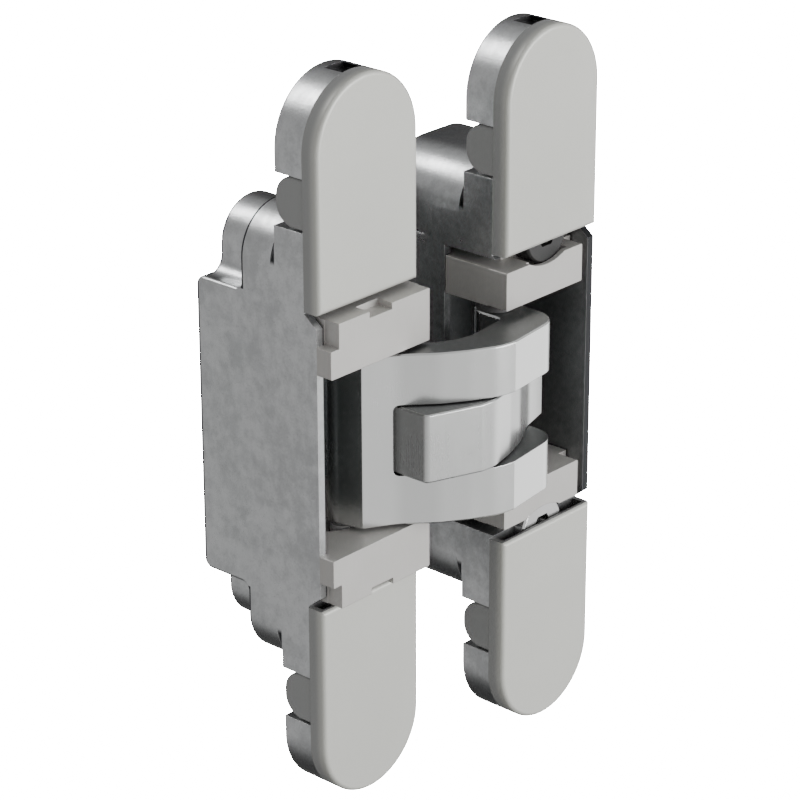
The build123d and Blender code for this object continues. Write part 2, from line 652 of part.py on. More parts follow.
def clamp_screw():
    """Socket screw that holds the frame carrier's tab."""
    head = disc(MIDLINE, CLAMP_Z, CLAMP_HEAD_RADIUS, CLAMP_HEAD_FRONT, TAB_FRONT)
    head = chamfer(head.edges().filter_by(GeomType.CIRCLE).group_by(Axis.Y)[0], PIN_CHAMFER)
    head -= prism(
        Pos(MIDLINE, CLAMP_Z) * RegularPolygon(CLAMP_SOCKET_RADIUS, 6),
        CLAMP_HEAD_FRONT, CLAMP_HEAD_FRONT + CLAMP_SOCKET_DEPTH,
    )
    return place(head + disc(MIDLINE, CLAMP_Z, CLAMP_RADIUS, TAB_FRONT - OVERCUT, CLAMP_END), "frame")


for name in ("frame", "door"):
    save(shell(name), name + "_shell")
    upper = cover(name)
    save(upper, name + "_upper_cover")
    save(flipped(upper), name + "_lower_cover")

for name, upper in (("frame", frame_carrier()), ("door", door_carrier())):
    save(upper, name + "_upper_carrier")
    save(flipped(upper), name + "_lower_carrier")

save(fork_arm(), "fork_arm")
save(tongue_arm(), "tongue_arm")

save(pin(FRAME_PIVOT, PIVOT_PIN_RADIUS, -PIVOT_PIN_END, PIVOT_PIN_END), "frame_pivot_pin")
save(pin(DOOR_PIVOT, PIVOT_PIN_RADIUS, -PIVOT_PIN_END, PIVOT_PIN_END), "door_pivot_pin")
centre_pin_top = ARM_HALF_HEIGHT - CENTRE_PIN_COVER - SEAT_GAP
save(pin(CROSSING, CENTRE_PIN_RADIUS, -ARM_HALF_HEIGHT + PIN_CHAMFER, centre_pin_top), "centre_pin")
slide_end = FRAME_SLOT_END - SLOT_END_GAP
save(pin(SLIDE_END, SLIDE_PIN_RADIUS, -slide_end, slide_end), "fork_slide_pin")
slide_end = DOOR_SLOT_END - SLOT_END_GAP
save(pin(mirrored(SLIDE_END), SLIDE_PIN_RADIUS, -slide_end, slide_end), "tongue_slide_pin")

save(tube(FRAME_PIVOT, PIVOT_PIN_RADIUS + BUSH_WALL, PIVOT_PIN_RADIUS + RUNNING_CLEARANCE,
          -TONGUE_HALF_HEIGHT, TONGUE_HALF_HEIGHT), "tongue_pivot_bush")
save(tube(CROSSING, CENTRE_PIN_RADIUS + BUSH_WALL, CENTRE_PIN_RADIUS + RUNNING_CLEARANCE,
          -TONGUE_HALF_HEIGHT, TONGUE_HALF_HEIGHT), "centre_bush")
save(pair(tube(DOOR_PIVOT, PIVOT_PIN_RADIUS + BUSH_WALL, PIVOT_PIN_RADIUS + RUNNING_CLEARANCE,
               WINDOW_HALF_HEIGHT, ARM_HALF_HEIGHT)), "fork_pivot_bushes")
save(pair(tube(DOOR_PIVOT, WASHER_RADIUS, PIVOT_PIN_RADIUS + RUNNING_CLEARANCE,
               ARM_HALF_HEIGHT + WASHER_GAP, DOOR_CARRIER_INNER - WASHER_GAP)), "door_pivot_washers")
save(pair(tube(SLIDE_END, SLEEVE_RADIUS, SLIDE_PIN_RADIUS + PRESS_CLEARANCE,
               FRAME_CARRIER_INNER, FRAME_SLOT_END - SLOT_END_GAP)), "fork_slide_sleeves")
save(pair(tube(mirrored(SLIDE_END), SLEEVE_RADIUS, SLIDE_PIN_RADIUS + PRESS_CLEARANCE,
               DOOR_CARRIER_INNER, DOOR_SLOT_END - SLOT_END_GAP)), "tongue_slide_sleeves")

upper_disc = adjusting_disc()
save(upper_disc, "door_upper_adjuster")
save(flipped(upper_disc), "door_lower_adjuster")
save(pair(clamp_screw()), "frame_clamp_screws")

print("turns", [round(degrees(t), 6) for t in (TONGUE_TURN, FORK_TURN, DOOR_TURN)])
print("pivots", FRAME_PIVOT, CROSSING, DOOR_PIVOT)
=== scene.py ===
# %% [markdown]
# # A concealed door hinge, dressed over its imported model
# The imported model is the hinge's metalwork: two die-cast bodies that sink into the door
# and its frame, two folding arms between them, and the covers that hide the screws. It
# comes in as a fixed frame of bodies. This lesson adds the finishes, two end housings of
# the door body, the studio and the camera.

# %% Load the frame
import math
import bpy
import bmesh
from mathutils import Matrix, Vector


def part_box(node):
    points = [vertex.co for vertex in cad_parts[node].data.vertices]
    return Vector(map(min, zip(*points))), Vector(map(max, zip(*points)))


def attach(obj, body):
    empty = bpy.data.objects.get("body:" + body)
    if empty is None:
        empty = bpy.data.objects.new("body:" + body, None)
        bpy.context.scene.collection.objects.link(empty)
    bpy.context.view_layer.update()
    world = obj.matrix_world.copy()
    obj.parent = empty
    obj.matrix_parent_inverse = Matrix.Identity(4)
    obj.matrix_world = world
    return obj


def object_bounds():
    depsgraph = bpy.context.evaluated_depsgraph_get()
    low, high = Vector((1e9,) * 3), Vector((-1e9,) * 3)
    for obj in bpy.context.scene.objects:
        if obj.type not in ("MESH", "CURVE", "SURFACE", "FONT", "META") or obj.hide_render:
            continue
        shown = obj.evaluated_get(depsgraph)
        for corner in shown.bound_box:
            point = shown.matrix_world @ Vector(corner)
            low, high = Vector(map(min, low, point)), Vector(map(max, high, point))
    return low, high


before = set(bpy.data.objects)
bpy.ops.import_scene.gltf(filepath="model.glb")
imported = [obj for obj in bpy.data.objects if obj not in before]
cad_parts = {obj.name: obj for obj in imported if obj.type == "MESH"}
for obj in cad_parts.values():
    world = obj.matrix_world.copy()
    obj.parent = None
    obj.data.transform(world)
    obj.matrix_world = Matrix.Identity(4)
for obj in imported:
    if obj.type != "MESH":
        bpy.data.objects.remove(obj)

MM = 0.001
cad_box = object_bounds()
print("nodes", len(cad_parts), "box", cad_box)

# %% [markdown]
# ## Shader maths as Python
# A finish is a graph of nodes. Wiring it by hand hides what it does, so a socket is
# wrapped in a small class whose operators add the Math nodes, and one method adds any
# other node with its settings and its inputs.

# %% A socket that does arithmetic
class Value:
    def __init__(self, graph, socket):
        self.graph = graph
        self.socket = socket

    def maths(self, operation, other=None, swapped=False):
        inputs = [self] if other is None else [self, other]
        if swapped:
            inputs.reverse()
        return self.graph.node(
            "ShaderNodeMath", {"operation": operation}, dict(enumerate(inputs))
        )

    def __add__(self, other):
        return self.maths("ADD", other)

    def __sub__(self, other):
        return self.maths("SUBTRACT", other)

    def __mul__(self, other):
        return self.maths("MULTIPLY", other)

    def __rsub__(self, other):
        return self.maths("SUBTRACT", other, swapped=True)

    __radd__ = __add__

    def size(self):
        return self.maths("ABSOLUTE")

    def smaller(self, other):
        return self.maths("MINIMUM", other)

    def larger(self, other):
        return self.maths("MAXIMUM", other)


# %% A graph with one method for every node
# Sockets of the Mix node when it mixes colours
MIX_SHARE, MIX_FIRST, MIX_SECOND, MIX_RESULT = 0, 6, 7, 2


class Graph:
    def __init__(self, tree):
        self.tree = tree

    def node(self, kind, settings=None, inputs=None, output=0):
        made = self.tree.nodes.new(kind)
        for key, value in (settings or {}).items():
            setattr(made, key, value)
        for key, value in (inputs or {}).items():
            if isinstance(value, Value):
                self.tree.links.new(value.socket, made.inputs[key])
            else:
                made.inputs[key].default_value = value
        return Value(self, made.outputs[output])

    def soft_step(self, value, low, high):
        """0 below one level and 1 above another, with a smooth rise between."""
        return self.node(
            "ShaderNodeMapRange", {"interpolation_type": "SMOOTHSTEP"},
            {"Value": value, "From Min": low, "From Max": high},
        )

    def inside(self, value, span, edge=0.3 * MM):
        """1 between the two ends of a span, with soft ends."""
        low, high = span
        rise = self.soft_step(value, low, low + edge)
        return rise * (1.0 - self.soft_step(value, high - edge, high))

    def along(self, vector, axis):
        return self.node("ShaderNodeSeparateXYZ", {}, {"Vector": vector}, output=axis)

    def blend(self, share, first, second):
        first, second = (
            colour if isinstance(colour, Value) else (*colour, 1.0)
            for colour in (first, second)
        )
        return self.node(
            "ShaderNodeMix", {"data_type": "RGBA"},
            {MIX_SHARE: share, MIX_FIRST: first, MIX_SECOND: second}, MIX_RESULT,
        )


# %% A finish is the graph of one material
SOCKET_NAMES = {
    "colour": "Base Color", "roughness": "Roughness", "metallic": "Metallic",
    "normal": "Normal", "specular": "Specular IOR Level", "glow": "Emission Color",
    "glow_strength": "Emission Strength",
}


class Finish(Graph):
    def __init__(self, name):
        self.material = bpy.data.materials.new(name)
        self.material.use_nodes = True
        super().__init__(self.material.node_tree)
        self.surface = next(n for n in self.tree.nodes if n.type == "BSDF_PRINCIPLED")

    def place(self):
        return self.node("ShaderNodeTexCoord", output="Object")

    def facing(self, axis):
        """How squarely the surface looks along one of its piece's own axes."""
        return self.along(self.node("ShaderNodeTexCoord", output="Normal"), axis)

    def noise(self, scale, detail=3.0, roughness=0.5, stretch=(1.0, 1.0, 1.0)):
        where = self.node("ShaderNodeMapping", {}, {"Vector": self.place(), "Scale": stretch})
        return self.node(
            "ShaderNodeTexNoise", {},
            {"Vector": where, "Scale": scale, "Detail": detail, "Roughness": roughness},
        )

    def bump(self, height, distance, strength, edge=0.2 * MM):
        """Fine relief, on a surface whose sharp edges look slightly worn."""
        worn_edge = self.node("ShaderNodeBevel", {"samples": 4}, {"Radius": edge})
        return self.node(
            "ShaderNodeBump", {},
            {"Height": height, "Distance": distance, "Strength": strength, "Normal": worn_edge},
        )

    def set(self, **sockets):
        for key, value in sockets.items():
            socket = self.surface.inputs[SOCKET_NAMES[key]]
            if isinstance(value, Value):
                self.tree.links.new(value.socket, socket)
            elif socket.type == "RGBA":
                socket.default_value = (*value, 1.0)
            else:
                socket.default_value = value


print("shader helpers ready, sockets", sorted(SOCKET_NAMES))

# %% [markdown]
# ## Die-cast zinc
# The bodies come out of the die grey and slightly cloudy, with fine pores and the faint
# flow of the metal. One image could carry this, but it would stretch on the curved ends.
# Noises in the piece's own space don't: a broad one and a finer one shift colour and
# roughness together, as oxide does, and a third gives the pores.
# Painted shade then darkens the pocket, the front of the door body's outer wall, the slit behind
# the flange, the rear rims of the steps and the pry notches.

# %% Where shade is painted on the casting
# Depths are taken from the covers' face and heights from the hinge's middle
STEP_RIM = (19.9 * MM, 20.78 * MM)
BOSS_RIM = (30.6 * MM, 31.46 * MM)
CASING_RIM = (32.1 * MM, 33.05 * MM)
PAST_CASING = (31.7 * MM, 31.9 * MM)
FLANGE_SLIT_DEPTH = (11.42 * MM, 12.7 * MM)
FLANGE_SLIT_HEIGHT = (38.4 * MM, 47.4 * MM)
PRY_NOTCH_WIDTH = (-2.8 * MM, 2.8 * MM)
PRY_NOTCH_DEPTH = (3.7 * MM, 8.7 * MM)
PRY_NOTCH_START = (73.9 * MM, 74.2 * MM)
POCKET_DEPTH = (-2.0 * MM, 32.4 * MM)
POCKET_END = (30.2 * MM, 30.5 * MM)
WALL_FRONT_WIDTH = (-1.65 * MM, -1.6 * MM)
WALL_FRONT_DEPTH = (3.0 * MM, 3.5 * MM)


def dark_rims(finish, across, depth, height, stepped):
    """Painted shade: the dark slit behind the flange, dark lines at the rear rims of the steps, and
    the floors of the pry notches.
    """
    past_casing = finish.soft_step(height, *PAST_CASING)
    step_rim = finish.inside(depth, STEP_RIM, 0.12 * MM) * past_casing * stepped
    boss_rim = finish.inside(depth, BOSS_RIM, 0.15 * MM) * past_casing * stepped
    casing_rim = finish.inside(depth, CASING_RIM, 0.15 * MM)
    slit_shadow = finish.inside(depth, FLANGE_SLIT_DEPTH, 0.15 * MM)
    slit_shadow = slit_shadow * finish.inside(height, FLANGE_SLIT_HEIGHT, 1.2 * MM)
    notch_shade = finish.inside(across, PRY_NOTCH_WIDTH) * finish.inside(depth, PRY_NOTCH_DEPTH)
    notch_shade = notch_shade * finish.soft_step(height, *PRY_NOTCH_START)
    return (step_rim + boss_rim * 0.8 + casing_rim * 0.8 + slit_shadow + notch_shade).smaller(1.0)


# %% Die-cast body
ZINC = {
    "dark": (0.50, 0.51, 0.515), "light": (0.66, 0.67, 0.675), "pore": (0.30, 0.305, 0.31),
    "pocket": (0.04, 0.044, 0.048), "wall_front_shade": (0.03, 0.032, 0.035),
    "rim": (0.025, 0.027, 0.03),
}
CLOUD_SCALE, FLOW_SCALE, PORE_SCALE = 110.0, 480.0, 2600.0
TONE_RANGE = (0.36, 0.64)
PORE_RANGE = (0.55, 0.75)


def die_cast_finish(name, middle, face, pocket_span, pocket_dark, stepped):
    finish = Finish(name)
    cloud = finish.noise(CLOUD_SCALE, 5.0, 0.6)
    flow = finish.noise(FLOW_SCALE, 4.0, 0.65, (1.0, 1.0, 0.8))
    pores = finish.noise(PORE_SCALE, 3.0, 0.6)
    tone = finish.soft_step(cloud * 0.5 + flow * 0.5, *TONE_RANGE)
    colour = finish.blend(tone, ZINC["dark"], ZINC["light"])
    colour = finish.blend(finish.soft_step(pores, *PORE_RANGE) * 0.3, colour, ZINC["pore"])

    where = finish.place()
    across = finish.along(where, "X")
    depth = finish.along(where, "Y") - face
    height = finish.along(where, "Z").size()
    pocket = finish.inside(across, pocket_span, 0.1 * MM) * finish.inside(depth, POCKET_DEPTH)
    pocket = pocket * (1.0 - finish.soft_step(height, *POCKET_END))
    # Painted shade: the pocket inside the body is darkened where shade falls in it.
    colour = finish.blend(pocket * pocket_dark, colour, ZINC["pocket"])

    # Painted shade: the front of the door body's outer wall beside the pocket is darkened.
    outer_wall = [pocket_span[1] + edge for edge in WALL_FRONT_WIDTH]
    wall_front_shade = finish.soft_step(across, *outer_wall) * pocket
    wall_front_shade = wall_front_shade * (1.0 - finish.soft_step(depth, *WALL_FRONT_DEPTH))
    colour = finish.blend(wall_front_shade * (1.0 - stepped), colour, ZINC["wall_front_shade"])

    # Painted shade on the rear rims, the slit behind the flange and the pry notches' floors
    rims = dark_rims(finish, across - middle, depth, height, stepped)
    finish.set(
        colour=finish.blend(rims, colour, ZINC["rim"]), metallic=0.9,
        roughness=0.32 - tone * 0.08 + flow * 0.06 + pocket * 0.1,
        normal=finish.bump(pores + flow * 0.8, 0.04 * MM, 0.7, 0.12 * MM),
    )
    return finish.material


# %% [markdown]
# ## Painted covers
# The covers are moulded caps with a pearl-grey satin paint on the face. The clip legs
# and the skirt are left in the darker plastic, which on the side band also stands in for
# shade. Two materials with a split mesh could do it, but the imported mesh isn't changed.
# The paint fades out slowly over the rounded front edge, which paints that edge's shading.
# So one mask follows the depth from the face, in the piece's own space. The hollow inside
# and the open end are darkened as painted shade.

# %% Cover paint, dark plastic and painted shade
PAINT_FADE_AND_EDGE_SHADE = (0.45 * MM, 2.6 * MM)
OPEN_END_FACING = (0.9, 0.98)
OPEN_END_HEIGHT = (38.0 * MM, 40.0 * MM)
HOLLOW_WIDTH = (-12.9 * MM, 12.9 * MM)
HOLLOW_DEPTH = (1.15 * MM, 3.95 * MM)
HOLLOW_END = (60.0 * MM, 62.0 * MM)
PAINT = {"dark": (0.535, 0.540, 0.500), "light": (0.585, 0.588, 0.550), "fleck": (0.66, 0.66, 0.63)}
PLASTIC_AND_SIDE_SHADE = {"dark": (0.30, 0.305, 0.30), "light": (0.35, 0.355, 0.35), "hollow": (0.05, 0.05, 0.05)}
FLECK_SCALE, PAINT_CLOUD_SCALE = 5200.0, 55.0
FLECK_RANGE = (0.45, 0.8)


def cover_finish(face, middle, name):
    finish = Finish(name)
    where = finish.place()
    across = finish.along(where, "X") - middle
    depth = finish.along(where, "Y") - face
    height = finish.along(where, "Z").size()
    # Painted shade: the open end that faces up or down and the hollow inside the cover are
    # darkened.
    shaded_open_end = finish.soft_step(finish.facing("Z").size(), *OPEN_END_FACING)
    shaded_open_end = shaded_open_end * (1.0 - finish.soft_step(height, *OPEN_END_HEIGHT))
    hollow = finish.inside(across, HOLLOW_WIDTH, 0.1 * MM)
    hollow = hollow * finish.inside(depth, HOLLOW_DEPTH, 0.05 * MM)
    hollow = hollow * (1.0 - finish.soft_step(height, *HOLLOW_END))
    # The paint fades slowly with depth, which paints the shading of the rounded front edge.
    painted = 1.0 - finish.soft_step(depth, *PAINT_FADE_AND_EDGE_SHADE)
    painted = painted * (1.0 - shaded_open_end.larger(hollow))

    flecks = finish.noise(FLECK_SCALE, 2.0, 0.6)
    cloud = finish.noise(PAINT_CLOUD_SCALE, 3.0, 0.5)
    paint = finish.blend(cloud, PAINT["dark"], PAINT["light"])
    paint = finish.blend(finish.soft_step(flecks, *FLECK_RANGE) * 0.25, paint, PAINT["fleck"])
    # The darker plastic is the skirt's own colour, and on the side band it also stands in for
    # shade.
    plastic_and_side_shade = finish.blend(cloud, PLASTIC_AND_SIDE_SHADE["dark"], PLASTIC_AND_SIDE_SHADE["light"])
    colour = finish.blend(painted, plastic_and_side_shade, paint)
    finish.set(
        colour=finish.blend(hollow.larger(shaded_open_end * 0.6), colour, PLASTIC_AND_SIDE_SHADE["hollow"]),
        metallic=painted * 0.2, roughness=0.62 - painted * 0.22 + cloud * 0.06,
        normal=finish.bump(flecks, 0.02 * MM, 0.5),
    )
    return finish.material


# %% [markdown]
# ## Satin metal of the carriers, arms and pins
# These are plated, painted or ground. A noise drawn out along one axis gives the faint
# lines of finishing, and a broad cloud keeps large faces from looking flat. The arms'
# top and bottom faces are duller, and darker as painted shade; a bevel facing up and left
# is darkened as painted shade too, and the tongue's left faces take a grey, less metallic
# tone as painted shade. Masks read which way a face looks. They use the piece's own axes,
# so they stay in place when an arm turns.

# %% Satin metal in any tone
LINE_SCALE, LINE_STRETCH, SATIN_CLOUD_SCALE = 3200.0, 0.04, 90.0
UPRIGHT_FACING = (0.8, 0.97)
BEVEL_FACING = (0.55, 0.68)
LEFT_FACING = (0.9, 0.98)
# Colours of painted shade on the arms' top and bottom faces, on their up-left bevels and on the
# tongue's left faces
TOP_AND_BOTTOM_SHADE_COLOUR, BEVEL_SHADE_COLOUR, NOSE_SHADE_COLOUR = (0.10, 0.104, 0.106), (0.06, 0.062, 0.064), (0.42, 0.425, 0.42)


def satin_metal(
    name, dark, light, roughness, metallic, line_axis=2, line_depth=0.01 * MM,
    top_and_bottom_shade=0.0, up_left_bevel_shade=0.0, nose_shade=0.0,
):
    finish = Finish(name)
    stretch = [1.0, 1.0, 1.0]
    stretch[line_axis] = LINE_STRETCH
    lines = finish.noise(LINE_SCALE, 2.0, 0.5, stretch)
    cloud = finish.noise(SATIN_CLOUD_SCALE, 3.0, 0.55)
    colour = finish.blend(cloud * 0.7 + lines * 0.3, dark, light)
    shaded_and_dull = 0.0
    if top_and_bottom_shade:
        # Painted shade: the top and bottom faces are darkened, and also made duller.
        shaded_and_dull = finish.soft_step(finish.facing("Z").size(), *UPRIGHT_FACING) * top_and_bottom_shade
        colour = finish.blend(shaded_and_dull, colour, TOP_AND_BOTTOM_SHADE_COLOUR)
    if up_left_bevel_shade:
        # Painted shade: the bevel facing up and left is darkened.
        shaded_up_left_bevel = finish.soft_step(0.0 - finish.facing("X"), *BEVEL_FACING)
        shaded_up_left_bevel = shaded_up_left_bevel * finish.soft_step(finish.facing("Z"), *BEVEL_FACING) * up_left_bevel_shade
        colour = finish.blend(shaded_up_left_bevel, colour, BEVEL_SHADE_COLOUR)
        shaded_and_dull = shaded_and_dull + shaded_up_left_bevel
    if nose_shade:
        # Painted shade: the faces looking left take a grey, less metallic tone set to the shade
        # they sit in.
        shaded_leftward = finish.soft_step(0.0 - finish.facing("X"), *LEFT_FACING) * nose_shade
        colour = finish.blend(shaded_leftward, colour, NOSE_SHADE_COLOUR)
        metallic = metallic - shaded_leftward * 0.75
    finish.set(
        colour=colour, metallic=metallic,
        roughness=roughness + cloud * 0.08 + lines * 0.04 + shaded_and_dull * 0.2,
        normal=finish.bump(lines, line_depth, 0.5),
    )
    return finish.material


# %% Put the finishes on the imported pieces
# Name, darker colour, lighter colour, roughness, metallic, and what is special to it
SATINS = (
    ("carrier_satin", (0.48, 0.47, 0.45), (0.56, 0.55, 0.53), 0.38, 0.35, {}),
    ("arm_satin_nickel", (0.74, 0.75, 0.74), (0.84, 0.85, 0.84), 0.20, 1.0,
     {"line_depth": 0.004 * MM, "top_and_bottom_shade": 0.85, "up_left_bevel_shade": 0.9}),
    ("tongue_satin_nickel", (0.62, 0.63, 0.62), (0.72, 0.73, 0.72), 0.22, 1.0,
     {"line_depth": 0.004 * MM, "top_and_bottom_shade": 0.8, "nose_shade": 0.8}),
    ("pin_ground_steel", (0.55, 0.55, 0.55), (0.70, 0.70, 0.70), 0.18, 1.0, {}),
    ("adjuster_chrome", (0.72, 0.72, 0.72), (0.88, 0.88, 0.88), 0.16, 1.0,
     {"line_axis": 1, "line_depth": 0.002 * MM}),
    # Painted shade: the upper adjuster is the same chrome part as the lower one, given in a
    # near-black shaded copy.
    ("adjuster_chrome_shaded_copy", (0.035, 0.035, 0.035), (0.065, 0.065, 0.065), 0.45, 0.6,
     {"line_axis": 1}),
    ("washer_grey", (0.10, 0.10, 0.10), (0.16, 0.16, 0.16), 0.5, 0.5, {}),
    ("bush_bronze", (0.42, 0.30, 0.15), (0.56, 0.42, 0.24), 0.35, 1.0, {}),
    ("sleeve_acetal", (0.70, 0.70, 0.68), (0.80, 0.80, 0.78), 0.45, 0.0, {}),
    ("screw_zinc_plate", (0.40, 0.40, 0.41), (0.52, 0.52, 0.54), 0.30, 1.0,
     {"line_axis": 1}),
)
SATIN_NODES = {
    "carrier_satin": (
        "frame_upper_carrier", "frame_lower_carrier", "door_upper_carrier",
        "door_lower_carrier",
    ),
    "arm_satin_nickel": ("fork_arm",),
    "tongue_satin_nickel": ("tongue_arm",),
    "pin_ground_steel": (
        "frame_pivot_pin", "door_pivot_pin", "centre_pin", "fork_slide_pin",
        "tongue_slide_pin",
    ),
    "adjuster_chrome": ("door_lower_adjuster",),
    "adjuster_chrome_shaded_copy": ("door_upper_adjuster",),
    "washer_grey": ("door_pivot_washers",),
    "bush_bronze": ("tongue_pivot_bush", "centre_bush", "fork_pivot_bushes"),
    "sleeve_acetal": ("fork_slide_sleeves", "tongue_slide_sleeves"),
    "screw_zinc_plate": ("frame_clamp_screws",),
}
WALL = 1.8 * MM
INSIDE_WALL = 0.2 * MM
SKIN = 0.1 * MM
# How strongly painted shade darkens the pocket of each body
POCKET_SHADE_STRENGTH = {"frame": 0.80, "door": 0.68}


def paint_node(name, material):
    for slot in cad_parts[name].material_slots:
        slot.material = material


def body_place(side):
    """A body's left, right and middle across the hinge, and the depth of its face."""
    low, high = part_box(side + "_shell")
    return low[0], high[0], (low[0] + high[0]) / 2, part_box(side + "_upper_cover")[0][1]


for name, dark, light, roughness, metallic, special in SATINS:
    satin = satin_metal(name, dark, light, roughness, metallic, **special)
    for node in SATIN_NODES[name]:
        paint_node(node, satin)

for side in ("frame", "door"):
    left, right, middle, face = body_place(side)
    stepped = 1.0 if side == "frame" else 0.0
    pocket_left = left + (WALL - INSIDE_WALL if side == "frame" else SKIN)
    zinc = die_cast_finish(
        side + "_die_cast_zinc", middle, face, (pocket_left, right - SKIN),
        POCKET_SHADE_STRENGTH[side], stepped,
    )
    paint_node(side + "_shell", zinc)
    cover_paint = cover_finish(face, middle, side + "_cover_paint")
    for end in ("upper", "lower"):
        paint_node(side + "_" + end + "_cover", cover_paint)

print("finishes", len(bpy.data.materials))

# %% [markdown]
# ## New pieces and the door body's end housings
# Behind the flange of the door body each end goes on at full width to the depth of the
# screw boss, with a round shoulder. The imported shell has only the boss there, so the two
# housings are pieces of their own. A box could be cut to the shape, but a bevel of its
# two outer edges gives the shoulder in one step, and a second one eases the rear rim.

# %% A mesh that becomes a piece
def new_piece(name, shape, material):
    mesh = bpy.data.meshes.new(name)
    shape.to_mesh(mesh)
    shape.free()
    mesh.materials.append(material)
    piece = bpy.data.objects.new(name, mesh)
    bpy.context.scene.collection.objects.link(piece)
    return piece


# %% End housings
HOUSING_START = 31.49 * MM
HOUSING_END = 48.0 * MM
HOUSING_FRONT = 20.0 * MM
HOUSING_BACK = 31.56 * MM
BODY_WIDTH = 28.0 * MM
SHOULDER_ROUND = 10.0 * MM
REAR_ROUND = 0.8 * MM
SHARP_FROM = math.radians(35)
HAIR = 0.01 * MM


def bevel(shape, edges, offset, segments):
    bmesh.ops.bevel(
        shape, geom=edges, offset=offset, segments=segments, profile=0.5,
        affect="EDGES", material=-1,
    )


def end_housing(name, sign):
    left, right, middle, face = body_place("door")
    shape = bmesh.new()
    bmesh.ops.create_cube(shape, size=1.0)
    bmesh.ops.scale(
        shape, verts=shape.verts,
        vec=(BODY_WIDTH, HOUSING_BACK - HOUSING_FRONT, HOUSING_END - HOUSING_START),
    )
    centre_depth = face + (HOUSING_BACK + HOUSING_FRONT) / 2
    centre_height = (HOUSING_END + HOUSING_START) / 2
    bmesh.ops.translate(shape, verts=shape.verts, vec=(middle, centre_depth, centre_height))
    shoulders = [
        edge for edge in shape.edges
        if abs(edge.verts[0].co.y - edge.verts[1].co.y) > MM
        and all(v.co.z > HOUSING_END - HAIR for v in edge.verts)
    ]
    bevel(shape, shoulders, SHOULDER_ROUND, 20)
    rear_rim = [
        edge for edge in shape.edges
        if all(v.co.y > face + HOUSING_BACK - HAIR for v in edge.verts)
        and any(v.co.z > HOUSING_START + HAIR for v in edge.verts)
    ]
    bevel(shape, rear_rim, REAR_ROUND, 4)
    if sign < 0:
        bmesh.ops.scale(shape, verts=shape.verts, vec=(1.0, 1.0, -1.0))
    bmesh.ops.recalc_face_normals(shape, faces=shape.faces)
    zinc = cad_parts["door_shell"].material_slots[0].material
    piece = new_piece(name, shape, zinc)
    piece.data.shade_smooth()
    piece.data.set_sharp_from_angle(angle=SHARP_FROM)
    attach(piece, "door_side")
    print(name, "faces", len(piece.data.polygons))


end_housing("door_upper_housing", 1)
end_housing("door_lower_housing", -1)

# %% [markdown]
# ## The studio's floor
# The hinge stands on a white sweep that burns out to pure white, as in a catalogue. A lit
# plane would need so much light that the metal burned out too. So the plane glows by
# itself, and it is hidden from the metal's reflections and from the diffuse bounce.

# %% Floor
FLOOR_GLOW = 40.0
FLOOR_HALF_SIZE = 3.0
FLOOR_GAP = 0.5 * MM


def studio_floor(top):
    white = Finish("studio_white")
    white.set(
        colour=white.blend(white.noise(1.5, 2.0, 0.5), (0.93, 0.93, 0.93), (0.95, 0.95, 0.95)),
        roughness=0.9, glow=(1.0, 1.0, 1.0), glow_strength=FLOOR_GLOW,
    )
    shape = bmesh.new()
    bmesh.ops.create_grid(shape, x_segments=1, y_segments=1, size=FLOOR_HALF_SIZE)
    bmesh.ops.translate(shape, verts=shape.verts, vec=(0.0, 0.0, top))
    floor = new_piece("studio_floor", shape, white.material)
    floor.visible_diffuse = False
    floor.visible_glossy = False
    print("floor at", round(top, 5))


studio_floor(cad_box[0][2] - FLOOR_GAP)

# %% [markdown]
# ## Lights
# Metal shows its surroundings, so the room is made with care. The key light comes from
# the front and a little from the right, which leaves the left sides in half shade. A
# second soft box high up behind draws a bright line on the edges that look up and left.
# It adds no diffuse light, so the covers keep their tone.

# %% Soft boxes
HINGE_CENTRE = (0.0237, -0.01, 0.0)


def soft_light(name, place, size, power):
    data = bpy.data.lights.new(name, "AREA")
    data.shape = "RECTANGLE"
    data.size = data.size_y = size
    data.energy = power
    lamp = bpy.data.objects.new(name, data)
    bpy.context.scene.collection.objects.link(lamp)
    lamp.location = place
    aim = Vector(HINGE_CENTRE) - Vector(place)
    lamp.rotation_euler = aim.to_track_quat("-Z", "Y").to_euler()
    print(name, power, "W")
    return lamp


soft_light("key_softbox", (0.45, -1.1, 0.12), 0.8, 19.0)
rear_lamp = soft_light("high_rear_softbox", (-0.30, 0.75, 0.92), 0.4, 5.0)
rear_lamp.visible_diffuse = False

# %% [markdown]
# ## A black flag
# A photographer stands a black card where a metal face would mirror too much light. Here
# one stands behind the frame body, so the flank of the door body beside the gap is dark
# in its reflection. Only glossy rays see it, so it throws no shadow and isn't in the picture.

# %% Flag behind the frame body
FLAG_BOTTOM, FLAG_TOP = -0.062, 0.043
FLAG_BEHIND = 2 * MM


def black_flag(left, right, depth):
    velvet = Finish("black_velvet")
    velvet.set(
        colour=velvet.blend(velvet.noise(400.0), (0.004, 0.004, 0.004), (0.008, 0.008, 0.008)),
        roughness=1.0, specular=0.0,
    )
    shape = bmesh.new()
    bmesh.ops.create_grid(shape, x_segments=1, y_segments=1, size=0.5)
    bmesh.ops.rotate(
        shape, verts=shape.verts, cent=(0.0, 0.0, 0.0),
        matrix=Matrix.Rotation(math.pi / 2, 3, "X"),
    )
    bmesh.ops.scale(shape, verts=shape.verts, vec=(right - left, 1.0, FLAG_TOP - FLAG_BOTTOM))
    middle = ((left + right) / 2, depth, (FLAG_BOTTOM + FLAG_TOP) / 2)
    bmesh.ops.translate(shape, verts=shape.verts, vec=middle)
    flag = new_piece("black_flag", shape, velvet.material)
    flag.visible_camera = False
    flag.visible_diffuse = False
    flag.visible_shadow = False
    flag.visible_transmission = False
    print("flag from", round(left, 4), "to", round(right, 4), "at", round(depth, 4))


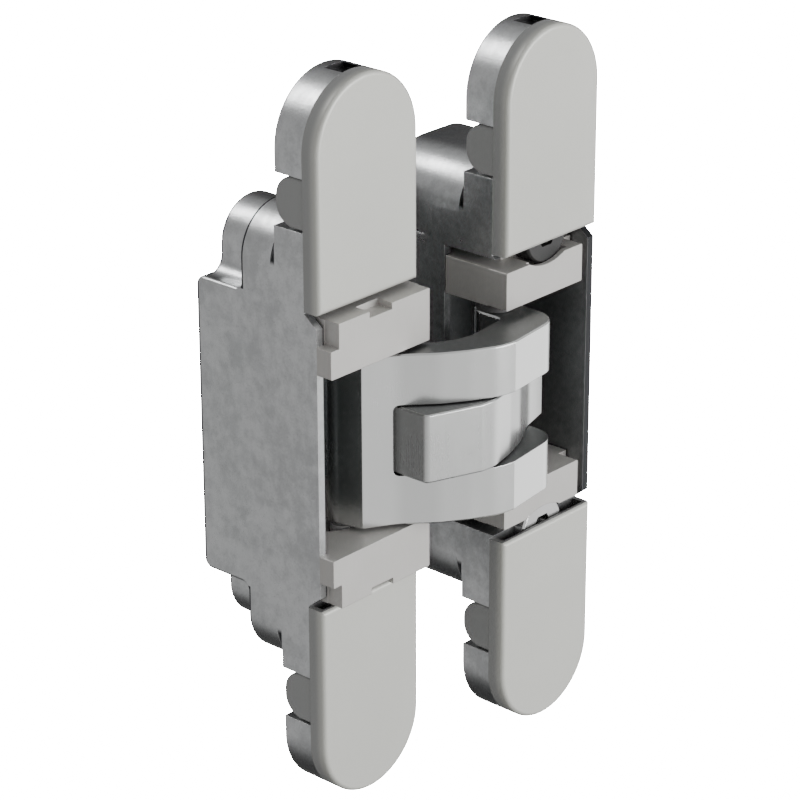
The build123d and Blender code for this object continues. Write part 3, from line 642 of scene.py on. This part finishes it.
frame_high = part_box("frame_shell")[1]
door_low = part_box("door_shell")[0]
black_flag(frame_high[0] - 2 * MM, door_low[0] + 1 * MM, frame_high[1] + FLAG_BEHIND)

# %% [markdown]
# ## The air of the room
# What isn't a lamp or a card is the room itself. A picture of a room would bring its own
# shapes into the metal, so the brightness is worked out from the direction: lighter to
# the right, a bright patch low on the right, and dark behind, overhead and underneath.

# %% A graded room
BEHIND = (0.74, 0.67, 0.0)
RIGHTWARD = (0.67, -0.74, 0.0)
UPWARD = (0.0, 0.0, 1.0)
BRIGHT_PATCH = (0.91, -0.11, -0.39)


def room_air():
    world = bpy.data.worlds.new("studio_air")
    world.use_nodes = True
    air = Graph(world.node_tree)
    looking = air.node("ShaderNodeTexCoord", output="Generated")

    def toward(direction, low, high):
        share = air.node(
            "ShaderNodeVectorMath", {"operation": "DOT_PRODUCT"},
            {0: looking, 1: direction}, "Value",
        )
        return air.soft_step(share, low, high)

    light = toward(RIGHTWARD, -0.9, 0.9) * 0.40 + 0.52
    light = light + toward(BRIGHT_PATCH, 0.86, 0.97)
    light = light * (1.0 - toward(BEHIND, 0.6, 0.9) * 0.96)
    light = light * (1.0 - toward(UPWARD, 0.0, 0.5) * 0.3)
    light = light * (toward(UPWARD, -0.78, -0.5) * 0.95 + 0.05)
    backdrop = world.node_tree.nodes["Background"]
    backdrop.inputs["Color"].default_value = (1.0, 1.0, 1.0, 1.0)
    world.node_tree.links.new(light.socket, backdrop.inputs["Strength"])
    bpy.context.scene.world = world
    print("room nodes", len(world.node_tree.nodes))


room_air()

# %% [markdown]
# ## The camera
# The photo was taken from a long way off with a long lens, from the left and above. The
# direction, the distance and the lens were found by matching the hinge's corners.

# %% Camera at the photo's angle
IMAGE_SIZE = 800
FOCAL_PIXELS = 3123.0
SENSOR = 36.0
AZIMUTH = math.radians(-47.81)
ELEVATION = math.radians(23.12)
ROLL = math.radians(-0.22)
DISTANCE = 0.62435
GAP_CENTRE = Vector((0.0237, -0.0114, 0.0))
AIM_RIGHT, AIM_UP = -0.01075, 0.00102
PRINCIPAL = (396.7, 406.3)

back = Vector((
    math.sin(AZIMUTH) * math.cos(ELEVATION),
    -math.cos(AZIMUTH) * math.cos(ELEVATION),
    math.sin(ELEVATION),
))
right = Vector((math.cos(AZIMUTH), math.sin(AZIMUTH), 0.0))
up = back.cross(right)
target = right * AIM_RIGHT + Vector((0.0, 0.0, AIM_UP)) + GAP_CENTRE
rolled_right = right * math.cos(ROLL) + up * math.sin(ROLL)
rolled_up = up * math.cos(ROLL) - right * math.sin(ROLL)
spot = target + back * DISTANCE

camera_data = bpy.data.cameras.new("photo_camera")
camera_data.sensor_width = SENSOR
camera_data.lens = FOCAL_PIXELS * SENSOR / IMAGE_SIZE
camera_data.shift_x = (IMAGE_SIZE / 2 - PRINCIPAL[0]) / IMAGE_SIZE
camera_data.shift_y = (PRINCIPAL[1] - IMAGE_SIZE / 2) / IMAGE_SIZE
camera_data.clip_start = 0.01
camera = bpy.data.objects.new("photo_camera", camera_data)
bpy.context.scene.collection.objects.link(camera)
camera.matrix_world = Matrix((
    (rolled_right.x, rolled_up.x, back.x, spot.x),
    (rolled_right.y, rolled_up.y, back.y, spot.y),
    (rolled_right.z, rolled_up.z, back.z, spot.z),
    (0.0, 0.0, 0.0, 1.0),
))
bpy.context.scene.camera = camera
print("camera", tuple(round(c, 4) for c in spot), "lens", round(camera_data.lens, 2))
